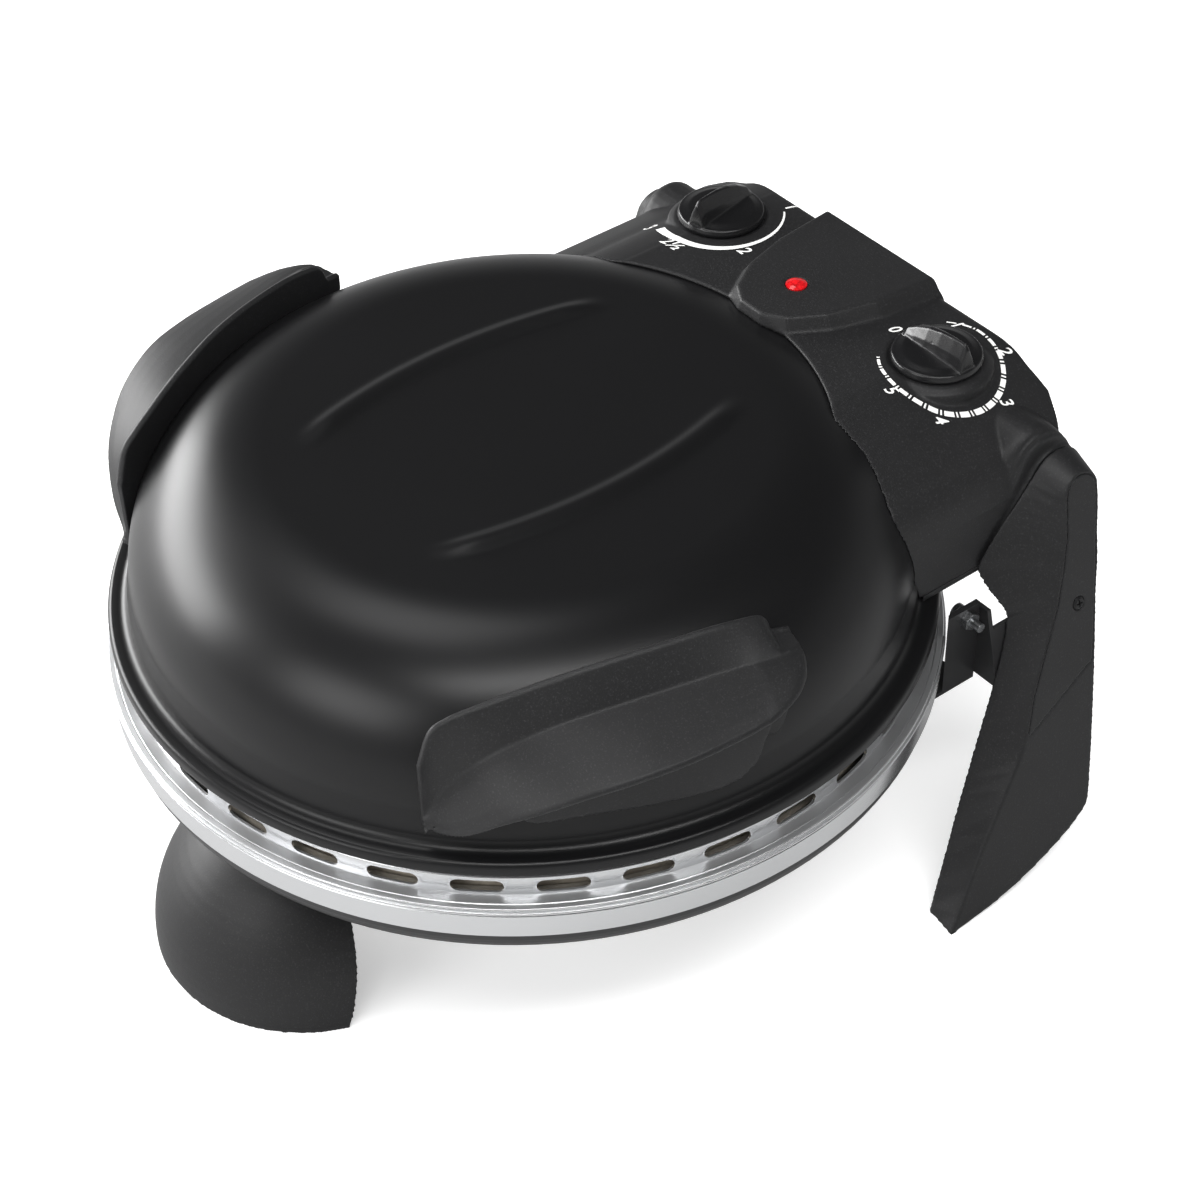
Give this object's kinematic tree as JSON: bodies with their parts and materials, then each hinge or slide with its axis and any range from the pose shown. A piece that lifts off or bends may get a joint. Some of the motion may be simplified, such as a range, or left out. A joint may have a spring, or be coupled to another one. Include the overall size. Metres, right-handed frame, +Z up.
{
  "type": "electric pizza maker",
  "caption": "Round countertop pizza cooker: a baking stone in a vented steel ring, under a domed lid with side handles and a control housing that tips back on two rear legs.",
  "frame": {"origin": "on the worktop, directly under the middle of the round baking chamber", "axes": "+X to the right of a user facing the front, +Y to the back where the control housing and the hinge are, +Z up"},
  "size_m": [0.3518, 0.3794, 0.2096],
  "materials": {
    "black_moulding": "fine matte texture",
    "black_knob": "satin with a bright rim",
    "black_enamel": "high gloss enamel",
    "polished_steel": "polished stainless",
    "inner_steel": "bright rolled sheet",
    "dark_sheet": "satin black coat",
    "heater_sheath": "heat-tinted sheath",
    "baking_stone": "unglazed fired clay, opaque",
    "screw_steel": "zinc plated",
    "dark_screw": "black oxide",
    "red_lens": "clear red",
    "pale_moulding": "heat resistant moulding",
    "nylon_bush": "plain"
  },
  "bodies": {
    "base": {"base_pan": "dark_sheet", "vent_ring": "polished_steel", "lower_reflector": "inner_steel", "lower_heater": "heater_sheath", "lower_heater_clips": "inner_steel", "baking_stone": "baking_stone", "terminal_cover": "black_moulding", "front_foot": "black_moulding", "foot_screws": "screw_steel", "left_leg": "black_moulding", "right_leg": "black_moulding", "left_leg_cover": "black_moulding", "right_leg_cover": "black_moulding", "leg_cover_screws": "dark_screw", "left_pan_bracket": "dark_sheet", "right_pan_bracket": "dark_sheet", "left_leg_angle": "dark_sheet", "right_leg_angle": "dark_sheet", "bracket_bolts": "screw_steel", "bracket_screws": "screw_steel", "left_pivot_pin": "screw_steel", "right_pivot_pin": "screw_steel"},
    "lid": {"lid_dome": "black_enamel", "lid_liner": "inner_steel", "upper_heater": "heater_sheath", "upper_heater_clips": "inner_steel", "liner_screws": "screw_steel", "left_handle": "black_moulding", "right_handle": "black_moulding", "left_handle_pad": "black_moulding", "right_handle_pad": "black_moulding", "handle_screws": "screw_steel", "control_housing": "black_moulding", "housing_base": "black_moulding", "housing_screws": "dark_screw", "lid_carrier": "inner_steel", "carrier_screws": "screw_steel", "left_pivot_bush": "nylon_bush", "right_pivot_bush": "nylon_bush", "lamp_lens": "red_lens", "lamp_body": "pale_moulding", "thermostat": "pale_moulding", "timer": "pale_moulding", "terminal_block": "pale_moulding", "cord_gland": "black_moulding"},
    "thermostat_dial": {"thermostat_knob": "black_knob", "thermostat_shaft": "screw_steel"},
    "timer_dial": {"timer_knob": "black_knob", "timer_shaft": "screw_steel"}
  },
  "joints": [
    {"name": "lid_hinge", "type": "hinge", "parent": "base", "child": "lid", "pos_m": [0, 0.175, 0.159], "axis": [-1, 0, 0], "range_deg": [0, 95]},
    {"name": "thermostat_turn", "type": "hinge", "parent": "lid", "child": "thermostat_dial", "pos_m": [-0.067, 0.159, 0.2], "axis": [0, 0, 1], "range_deg": [-44, 150]},
    {"name": "timer_turn", "type": "hinge", "parent": "lid", "child": "timer_dial", "pos_m": [0.067, 0.159, 0.2], "axis": [0, 0, 1], "range_deg": [-97, 173]}
  ]
}
